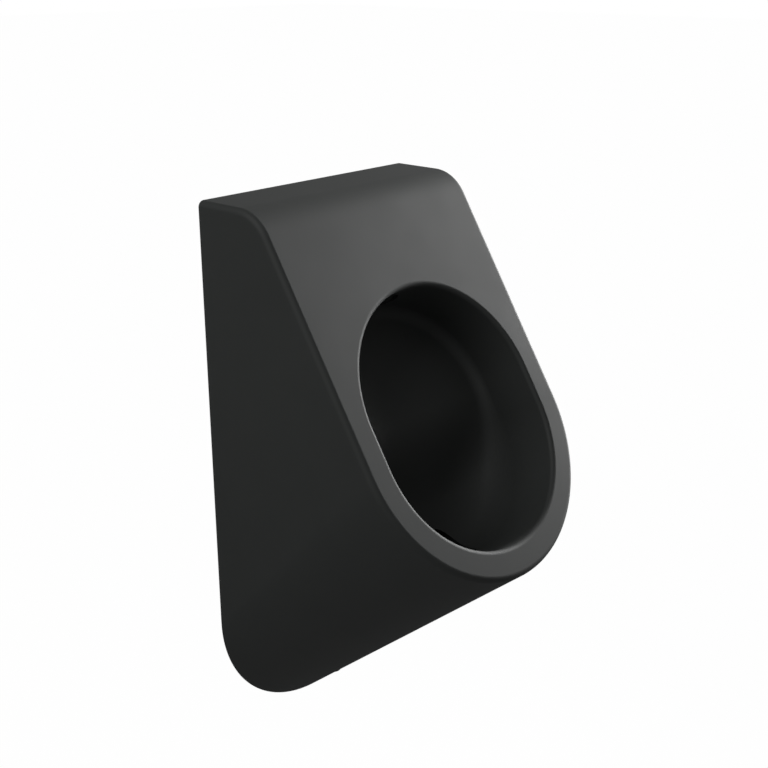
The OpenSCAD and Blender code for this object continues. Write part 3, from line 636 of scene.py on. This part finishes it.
def wallScrews():
    head = hexPiece("wallScrews", wallScrew["across"], wallScrew["headHeight"], 0,
                    alongY(wallScrew["headFront"], 0), False)
    thread = threadedBar(wallScrew["diameter"] / 2, wallScrew["pitch"], wallScrew["depth"],
                         wallScrew["thread"], alongY(0, 0), 28)
    combine(head, "UNION", turned("shank", wallScrew["shank"], alongY(0, 0), segments=32), thread)
    return spreadOut(head, screwPlaces)


plug = {
    "diameter": 10, "bore": 8.1, "length": 50, "slit": 1.3, "slitFrom": 14, "slitStep": 5, "slitEnd": 3,
    "collar": ((4.7, 0), (5, 0.3), (5, 4), (4.55, 5)), "tail": 0.6,
    "barb": 3.5, "barbMargin": 6, "barbForm": ((0.5, 0), (0, 0.75), (0.05, 0.85)),     # rise in barbs
}


def wallPlugs():
    r, bore, barb, end = plug["diameter"] / 2, plug["bore"] / 2, plug["barb"], plug["length"]
    outline = [(bore, 0), *plug["collar"]]
    z = plug["barbMargin"]
    while z < end - plug["barbMargin"]:
        outline += [(r - inwards, z + barb * rise) for inwards, rise in plug["barbForm"]]
        z += barb
    outline += [(r - plug["barbForm"][0][0], z), (r - plug["tail"], end), (bore, end)]
    one = turned("wallPlugs", outline, alongY(0, 0), segments=40)
    half, start, stop = plug["slit"] / 2, plug["slitFrom"], end - plug["slitEnd"]
    combine(one, "DIFFERENCE", blockTool(((-r - 1, start, -half), (r + 1, stop, half)),
                                         ((-half, start + plug["slitStep"], -r - 1), (half, stop, r + 1))))
    return spreadOut(one, screwPlaces)


finishPiece(hangingRail(), "zinc_steel", "hanging_rail", softEdge=rail["softEdge"])
finishPiece(hookPads(), "nylon", "hook_pads", softEdge=pads["softEdge"])
finishPiece(wallScrews(), "zinc_steel", "wall_screws", sharp=28)
finishPiece(wallPlugs(), "grey_nylon", "wall_plugs")


foot = {
    "shelf": -466.077, "plate": 4, "width": 36, "leg": 44, "reach": 36, "wallHole": 8.1, "screwHole": 6.1,
    "bendOutside": 5, "bendInside": 1.2, "corner": 6, "softEdge": 0.5,
    "nutLow": -462.027, "nutAcross": 11, "nutHeight": 5,
}


def lowerBracket():
    t, z, reach = foot["plate"], foot["shelf"], foot["reach"]
    top = z + foot["leg"]
    outline = [(0, top), (-t, top), (-t, z + t), (-reach, z + t), (-reach, z), (0, z)]
    thing = bentStrip("lowerBracket", outline, 0, foot["width"] / 2,
                      [((0, z), foot["bendOutside"]), ((-t, z + t), foot["bendInside"])])
    roundTips(thing, t, foot["corner"], lambda ends: all(co.y < -reach + near for co in ends)
              or all(co.z > top - near for co in ends))
    combine(thing, "DIFFERENCE", barTool(
        (foot["wallHole"] / 2, t + 2 * past, alongY(-t - past, wallScrew["lowHeight"]), 48),
        (foot["screwHole"] / 2, t + 2 * past, footAxis @ move(z=z - past), 48)))
    return thing


lowScrew = {
    "head": ((0, -486.05), (3.9, -486.05), (5, -485.55), (5.5, -484.35), (5.5, -482.55), (0, -482.55)),
    "core": (2.35, 23.523, -483.05),       # radius, length and low end
    "diameter": 6, "pitch": 1, "depth": 0.55,
    "thread": ((0, -464.027), (3, -463.427), (3, -453.827), (2.2, -453.027), (0, -453.027)),
    "drive": 4, "driveLow": -487.05, "driveLength": 3,
}


def lowerScrew():
    thing = turned("lowerScrew", lowScrew["head"], footAxis, segments=48)
    radius, length, low = lowScrew["core"]
    combine(thing, "UNION", barTool((radius, length, footAxis @ move(z=low), 32)),
            threadedBar(lowScrew["diameter"] / 2, lowScrew["pitch"], lowScrew["depth"], lowScrew["thread"],
                        footAxis, 28))
    combine(thing, "DIFFERENCE", barTool((lowScrew["drive"] / 2 * hexCorner, lowScrew["driveLength"],
                                          footAxis @ move(z=lowScrew["driveLow"]), 6)))
    return thing


finishPiece(lowerBracket(), "zinc_steel", "lower_bracket", softEdge=foot["softEdge"])
finishPiece(hexPiece("lowerNut", foot["nutAcross"], foot["nutHeight"], foot["screwHole"],
                     footAxis @ move(z=foot["nutLow"])), "zinc_steel", "lower_nut", sharp=28)
finishPiece(lowerScrew(), "zinc_steel", "lower_screw", sharp=28)
print("fixings ready")


spray = {
    "outline": ((0, -4.05), (7, -4.05), (11.5, -3.65), (14, -1.65), (16.1, -0.65), (17, 0.25), (17, 1.55),
                (16.6, 1.95), (9.6, 1.95), (9.6, 9), (6, 9), (6, -1.05), (0, -1.05)),
    "thread": ((6, 8), (9.2, 8), (10, 9), (10, 35), (9, 36), (6, 36)),
    "shank": 20, "length": 36, "pitch": 2, "depth": 0.9,
    "holes": 7, "hole": 2.4, "holeRing": 3.6, "holeFrom": -16.05, "holeLength": 20,
    "nutLow": 12.5, "nutHeight": 8, "nutAcross": 30,
}


def sprayHead():
    thing = turned("sprayHead", spray["outline"], ceiling, segments=80)
    combine(thing, "UNION", threadedBar(spray["shank"] / 2, spray["pitch"], spray["depth"], spray["thread"],
                                        ceiling))
    holes = around(ceiling, spray["holes"], spray["holeRing"], spray["holeFrom"])
    combine(thing, "DIFFERENCE", barTool(*[(spray["hole"] / 2, spray["holeLength"], place, 20)
                                           for place in holes]))
    return thing


pipe = {
    "bore": 12, "elbow": 29, "socketLow": 26, "socketTop": 43,
    "run": ((0, 0), (11.9, 0), *arc(15, 18, 7, 7, 240, 180, 6), (8, 50.531), (8.7, 50.931), (9.95, 52.031),
            (10.45, 52.531), (10.45, 55.031), (0, 55.031)),
    "socket": ((0, 26), (11.05, 26), (11.75, 26.3), (12.05, 27), (12.05, 29.4), (11.15, 30), (11.15, 35),
               (11.65, 43), (0, 43)),
}


def inletPipe():
    bore, low = pipe["bore"] / 2, pipe["socketLow"]
    elbow = move(y=inlet["elbowY"], z=inlet["height"])
    level = elbow @ turn(-90, "X")
    bm = bmesh.new()
    bmesh.ops.create_uvsphere(bm, u_segments=48, v_segments=24, radius=pipe["elbow"] / 2, matrix=elbow)
    thing = solidObject(bm, "inletPipe")
    combine(thing, "UNION", turned("level", pipe["run"], level, segments=64),
            turned("socket", pipe["socket"], ceiling, segments=64))
    wet = barTool((spray["shank"] / 2 + slack, spray["length"] - low + past + slack,
                   ceiling @ move(z=low - past), 64),
                  (bore, pipe["socketTop"] - low, ceiling @ move(z=low), 48))
    combine(thing, "DIFFERENCE", wet, barTool((bore, -inlet["elbowY"], level, 48)))
    return thing


unionNut = {"front": -28.05, "length": 19, "across": 30, "lip": 3, "bore": 21.1, "lipBore": 16.1}


def inletUnionNut():
    axis, length = inletAxis @ move(z=unionNut["front"]), unionNut["length"]
    thing = hexPiece("inletUnionNut", unionNut["across"], length, unionNut["lipBore"], axis)
    combine(thing, "DIFFERENCE", barTool((unionNut["bore"] / 2, length, axis @ move(z=unionNut["lip"]), 72)))
    return thing


nipple = {
    "diameter": 21, "front": -20, "end": 16, "hexThick": 6, "across": 27, "pitch": 1.814, "depth": 1.1,
    "lead": 1.2, "sunk": 0.5,
}


def wallNipple():
    r, depth, lead, sunk = nipple["diameter"] / 2, nipple["depth"], nipple["lead"], nipple["sunk"]
    front, end, thick = nipple["front"], nipple["end"], nipple["hexThick"]
    thing = hexPiece("wallNipple", nipple["across"], thick, 0, inletAxis @ move(z=-thick))
    for low, high in ((front, sunk - thick), (-sunk, end)):
        envelope = [(0, low), (r - depth, low), (r, low + lead), (r, high - lead), (r - depth, high),
                    (0, high)]
        combine(thing, "UNION", threadedBar(r, nipple["pitch"], depth, envelope, inletAxis))
    combine(thing, "DIFFERENCE", barTool((pipe["bore"] / 2, end - front + 2 * past,
                                          inletAxis @ move(z=front - past), 48)))
    return thing


finishPiece(sprayHead(), "black_plastic", "spray_head", sharp=40)
finishPiece(hexPiece("shankNut", spray["nutAcross"], spray["nutHeight"], spray["shank"] + 2 * slack,
                     ceiling @ move(z=spray["nutLow"])), "white_plastic", "shank_nut", sharp=28)
finishPiece(inletPipe(), "white_plastic", "inlet_pipe", sharp=40)
finishPiece(inletUnionNut(), "brass", "inlet_union_nut", sharp=28)
finishPiece(wallNipple(), "brass", "wall_nipple", sharp=28)
print("inlet ready")


strainer = {
    "front": -156.3, "holes": 9, "hole": 5, "holeRing": 11.2,
    "outline": ((0, 2.3), (15.7, 2), (15.7, 7.6), (16.1, 8), (17.2, 8), (17.7, 7.4), (17.7, 1.2),
                (17.35, 0.35), (16.5, 0), (15.5, 0.25), (5.5, 0.8), (2.7, 0.2), (2.2, -1.6), (2.2, -4.8),
                (3, -5.8), (3.5, -6.8), (3.2, -8.1), (2.3, -8.85), (0, -9)),
}


def outletStrainer():
    axis = throatAxis @ move(z=strainer["front"])
    thing = turned("outletStrainer", strainer["outline"], axis, segments=80)
    holes = around(axis, strainer["holes"], strainer["holeRing"], -past)
    combine(thing, "DIFFERENCE", barTool(*[(strainer["hole"] / 2, 2 * past, place, 28) for place in holes]))
    return thing


trap = {
    "away": 72, "wasteHeight": -314.148,
    "outline": ((32.5, -366.148), (34.4, -366.148), (34.8, -365.748), (35, -365.148), (35, -352),
                (34.1, -350.8), (34.1, -273.148), (35, -271.948), (35, -268.348), (34.1, -267.148),
                (34.1, -253.148), *arc(24, -251.148, 11, 11, 0, 90), (12, -240.148), (11.4, -240.748),
                (4, -240.748), (3, -240.148), (0, -240.148), (0, -242.648),
                *arc(24, -251.148, 8.5, 8.5, 90, 0)),
    "spigot": ((0, -137), (19.2, -137), (20, -135.6), (20, -116), *arc(25, -108, 5, 5, 180, 90, 6),
               (25, -72), (0, -72)),
    "socket": ((0, -72), (32.4, -72), *arc(32.4, -37.4, 3.4, 4.6, 270, 180, 6), (29, -16.8), (28.2, -16),
               (0, -16)),
    "shelf": ((15.05, -289.398), (32.3, -289.398), (32.3, -286.898), (15.05, -286.898)),
    # radius, length and start of each bore
    "spigotBore": (17.5, 78, -142), "wasteBores": ((22.5, 40, -62), (25.05, 60, -37)),
    "ribsAt": (-16, 16), "ribHalf": 1.2, "ribLow": (-50, -352.148), "ribHigh": (-31.5, -331.148),
}
trapAxis = move(y=-trap["away"])
wasteAxis = alongY(0, trap["wasteHeight"])


def boreTool(axis, radius, length, start):
    return barTool((radius, length, axis @ move(z=start), 72))


def trapHousing():
    thing = turned("trapHousing", trap["outline"], trapAxis)
    combine(thing, "UNION", turned("spigot", trap["spigot"], throatAxis, segments=80),
            turned("socket", trap["socket"], wasteAxis))
    combine(thing, "DIFFERENCE", boreTool(throatAxis, *trap["spigotBore"]),
            *[boreTool(wasteAxis, *sizes) for sizes in trap["wasteBores"]])
    half = trap["ribHalf"]   # the ribs run from the socket down to the neck
    combine(thing, "UNION", turned("shelf", trap["shelf"], trapAxis, segments=72),
            blockTool(*[((x - half, *trap["ribLow"]), (x + half, *trap["ribHigh"])) for x in trap["ribsAt"]]))
    return thing


cup = {
    "outline": ((0, -398.348), (9, -398.348), (9.8, -399.148), (18, -399.148),
                *arc(19, -390.148, 9, 9, -90, 0), (28, -371.948), (34.6, -371.948), (35, -371.548),
                (35, -369.348), (34.6, -368.948), (26, -368.948), (25.5, -369.448),
                *arc(19, -390.148, 6.5, 6.5, 0, -90), (0, -396.648)),
    "flutes": 18, "fluteRing": 30.4,
    "flute": ((0, -391.5), (1.7, -390.7), (3.2, -388.5), (3.2, -378.9), (0, -377.4)),
}


def trapCup():
    thing = turned("trapCup", cup["outline"], trapAxis)
    places = around(trapAxis, cup["flutes"], cup["fluteRing"])
    combine(thing, "DIFFERENCE", turned("flutes", cup["flute"], *places, segments=20))
    return thing


finishPiece(outletStrainer(), "black_plastic", "outlet_strainer", bodyName="strainer", sharp=40)
finishPiece(trapHousing(), "white_plastic", "trap_housing", sharp=40)
finishPiece(trapCup(), "white_plastic", "trap_cup", bodyName="cup", sharp=40)
print("trap ready")


# the plain turned pieces: finish, CAD node, steps, place, then the outline as radius and height
turnings = {
    "wallWashers": ("zinc_steel", "wall_washers", 64, alongY(0, 0), (4.05, -5.4), (4.25, -5.6),
                    (9.6, -5.6), (10, -5.2), (10, -4.3), (9.7, -4), (4.05, -4)),
    "lowerSleeve": ("nylon", "lower_sleeve", 48, footAxis, (3.05, -482.5), (8.65, -482.5), (8.95, -482.2),
                    (8.95, -481.3), (8.65, -481), (4.55, -481), (4.55, -466.677), (4.15, -466.177),
                    (3.05, -466.177)),
    "lowerCap": ("black_plastic", "lower_cap", 64, footAxis, (0, -487.4), (5.55, -487.4), (6.15, -488),
                 (6.75, -488.1), (8.45, -488.1), (8.95, -487.6), (8.95, -486.4), (8.65, -486.1), (0, -486.1)),
    "outletCollar": ("rubber", "outlet_collar", 80, throatAxis, (20.05, -140.95), (21.05, -141.95),
                     (23.95, -141.95), (24.95, -140.95),
                     (24.45, -137.95), (24.45, -136.35), (24.95, -135.55), (24.95, -134.55),
                     (24.45, -132.95), (24.45, -131.35), (24.95, -130.55), (24.95, -129.55),
                     (24.45, -127.95), (24.45, -126.35), (24.95, -125.55), (24.95, -124.55),
                     (24.95, -119.95), (30.3, -119.95), (31, -119.25), (31, -117.15), (29.8, -115.95),
                     (23.45, -115.95), (22.45, -116.65), (21.65, -116.05), (20.65, -115.95),
                     (20.05, -116.75)),
    "dipTube": ("white_plastic", "dip_tube", 64, trapAxis, (12.5, -386.648), (14.6, -386.648),
                (15, -386.248), (15, -286.848), (19.7, -286.848), (20, -286.548), (20, -284.648),
                (19.7, -284.348), (13.1, -284.348), (12.5, -284.948)),
    "wastePipe": ("grey_plastic", "waste_pipe", 96, wasteAxis, (22.5, -34.5), (25, -34.5), (25, 57),
                  (23.7, 60), (22.5, 60)),
    "wallSleeve": ("rubber", "wall_sleeve", 96, wasteAxis, (25.05, -2.5), (25.55, -3), (35.5, -3),
                   (36.8, -2.2), (37, 0), (29.6, 0), (29.4, 5), (30.8, 6.2), (31, 7), (29.8, 10),
                   (29.4, 13), (30.8, 14.2), (31, 15), (29.8, 18), (29.4, 21), (30.8, 22.2), (31, 23),
                   (29.8, 26), (29.4, 33), (27.6, 35), (25.85, 35), (25.05, 34.2)),
}
for name, (slotName, node, steps, place, *outline) in turnings.items():
    thing = turned(name, outline, place, segments=steps)
    finishPiece(spreadOut(thing, screwPlaces) if name == "wallWashers" else thing, slotName, node)

# rubber rings: CAD node, body, outer and inner radius, low and high end, bulge of the edge, place
rings = {
    "sprayGasket": ("spray_gasket", "root", 17, 10.05, 2, 3.95, 0.35, ceiling),
    "shankWasher": ("shank_washer", "root", 15, 10.05, 10.55, 12.45, 0.35, ceiling),
    "inletWasher": ("inlet_washer", "root", 10.45, 6, -21.95, -20.05, 0.2, inletAxis),
    "cupSeal": ("cup_seal", "cup", 35, 30, -368.9, -366.45, 0.35, trapAxis),
    "wasteWasher": ("waste_washer_ring", "root", 29, 25.05, -15.95, -12.05, 0.35, wasteAxis),
}
for name, (node, bodyName, outer, inner, low, high, bulge, place) in rings.items():
    edge = outer - bulge / 4
    outline = [(inner, low), (outer - bulge, low), (edge, low + bulge), (outer, (low + high) / 2),
               (edge, high - bulge), (outer - bulge, high), (inner, high)]
    finishPiece(turned(name, outline, place, segments=72), "rubber", node, bodyName=bodyName)

# nuts with grips: CAD node, body, place, the grips' count, radius, ring and two ends, then the outline
gripNuts = {
    "cupRingNut": ("cup_ring_nut", "ring_nut", trapAxis, 12, 3.6, 39.6, -375.248, -357.248,
                   (28.3, -375.748), (28.8, -376.248), (38.8, -376.248), (40, -375.648), (40.4, -374.448),
                   (40.4, -356.248), (39.4, -355.248), (35.9, -355.248), (35.3, -355.848),
                   (35.3, -372.248), (28.3, -372.248)),
    "wasteUnionNut": ("waste_union_nut", "root", wasteAxis, 16, 2.6, 33.4, -31.2, -15,
                      (29.05, -32), (33.5, -32), (34.3, -31.2), (34.3, -12), (33.7, -10), (32.3, -9),
                      (25.55, -9), (25.05, -9.5), (25.05, -12), (29.05, -12)),
}
gripEdge, gripSlope = 0.8, 1
for name, (node, bodyName, place, count, grip, out, low, high, *outline) in gripNuts.items():
    thing = turned(name, outline, place)
    form = [(0, low), (grip - gripEdge, low), (grip, low + gripSlope), (grip, high - gripSlope),
            (grip - gripEdge, high), (0, high)]
    combine(thing, "UNION", turned("grips", form, *around(place, count, out), segments=20))
    finishPiece(thing, "white_plastic", node, bodyName=bodyName, sharp=40)
print("turned pieces ready")


studio = {                   # in metres from here on
    "floorHeight": -2.75, "floorSize": 120, "floorColour": (0.9, 0.9, 0.9, 1), "floorRough": 0.8,
    "floorGlow": 0.99, "ambient": 0.1,
    "wallGloss": 0.2, "floorGloss": 0.09,        # how much of the white the gloss sees
    "cameraPlace": (-0.86277, -0.87342, 0.32128), "cameraDown": 20.115, "cameraAside": 48.335,
    "focalLength": 1166.42, "frameWidth": 768,   # both in pixels
    "sensor": 36, "lampAim": (0, -0.12, -0.2),
    # place, width and height, watts
    "lamps": {
        "rightKey": ((2.66, -0.33, 0.46), (1.0, 1.5), 115),
        "frontKey": ((2.113, -0.657, 0.106), (0.6, 1.2), 12),
        "leftFill": ((-1.556, -0.13, 1.356), (1.2, 1.2), 15),
        "backFill": ((0.38, 2.04, -0.7), (1.6, 1.1), 16),
    },
}
scene = bpy.context.scene
scene.view_settings.view_transform = "Standard"


def whiteFor(tree, glossShare):
    # which rays meet the white background, and how strong it is for each
    rays = nodeOf(tree, "ShaderNodeLightPath")
    gloss = nodeOf(tree, "ShaderNodeMath", operation="MULTIPLY")
    gloss.inputs[1].default_value = glossShare
    tree.links.new(rays.outputs["Is Glossy Ray"], gloss.inputs[0])
    results = []
    for glossy in (rays.outputs["Is Glossy Ray"], gloss.outputs[0]):
        either = nodeOf(tree, "ShaderNodeMath", operation="MAXIMUM")
        whole = nodeOf(tree, "ShaderNodeMath", operation="MAXIMUM")
        tree.links.new(rays.outputs["Is Camera Ray"], either.inputs[0])
        tree.links.new(glossy, either.inputs[1])
        tree.links.new(either.outputs[0], whole.inputs[0])
        tree.links.new(rays.outputs["Is Transmission Ray"], whole.inputs[1])
        results.append(whole.outputs[0])
    return results


world = bpy.data.worlds.new("studioWorld")
scene.world = world
world.use_nodes = True
tree = world.node_tree
tree.nodes.clear()
brightness = nodeOf(tree, "ShaderNodeMath", operation="MAXIMUM")
brightness.inputs[1].default_value = studio["ambient"]
white = nodeOf(tree, "ShaderNodeBackground", Color=(1, 1, 1, 1))
output = nodeOf(tree, "ShaderNodeOutputWorld")
tree.links.new(whiteFor(tree, studio["wallGloss"])[1], brightness.inputs[0])
tree.links.new(brightness.outputs[0], white.inputs["Strength"])
tree.links.new(white.outputs[0], output.inputs["Surface"])

floorMaterial = bpy.data.materials.new("paleFloor")
floorMaterial.use_nodes = True
tree = floorMaterial.node_tree
shader = tree.nodes["Principled BSDF"]
shader.inputs["Base Color"].default_value = studio["floorColour"]
shader.inputs["Roughness"].default_value = studio["floorRough"]
share = nodeOf(tree, "ShaderNodeMath", operation="MULTIPLY")
share.inputs[1].default_value = studio["floorGlow"]
glow = nodeOf(tree, "ShaderNodeEmission", Color=(1, 1, 1, 1), Strength=1.0)
pick = nodeOf(tree, "ShaderNodeMixShader")
seen, strength = whiteFor(tree, studio["floorGloss"])
tree.links.new(seen, share.inputs[0])
tree.links.new(strength, glow.inputs["Strength"])
tree.links.new(share.outputs[0], pick.inputs[0])
tree.links.new(shader.outputs[0], pick.inputs[1])
tree.links.new(glow.outputs[0], pick.inputs[2])
tree.links.new(pick.outputs[0], tree.nodes["Material Output"].inputs["Surface"])
bm = bmesh.new()
bmesh.ops.create_grid(bm, x_segments=1, y_segments=1, size=studio["floorSize"] / 2,
                      matrix=move(z=studio["floorHeight"]))
floor = solidObject(bm, "floor")
floor.data.materials.append(floorMaterial)

for name, (place, size, watts) in studio["lamps"].items():
    lamp = bpy.data.lights.new(name, "AREA")
    lamp.energy = watts
    lamp.shape = "RECTANGLE"
    lamp.size, lamp.size_y = size
    holder = bpy.data.objects.new(name, lamp)
    holder.location = place
    holder.rotation_euler = (Vector(studio["lampAim"]) - Vector(place)).to_track_quat("-Z", "Y").to_euler()
    scene.collection.objects.link(holder)

lens = bpy.data.cameras.new("camera")
lens.sensor_width = studio["sensor"]
lens.lens = studio["focalLength"] / studio["frameWidth"] * studio["sensor"]
camera = bpy.data.objects.new("camera", lens)
camera.location = studio["cameraPlace"]
camera.rotation_euler = (math.radians(90 - studio["cameraDown"]), 0, math.radians(-studio["cameraAside"]))
scene.collection.objects.link(camera)
scene.camera = camera
print("studio ready")
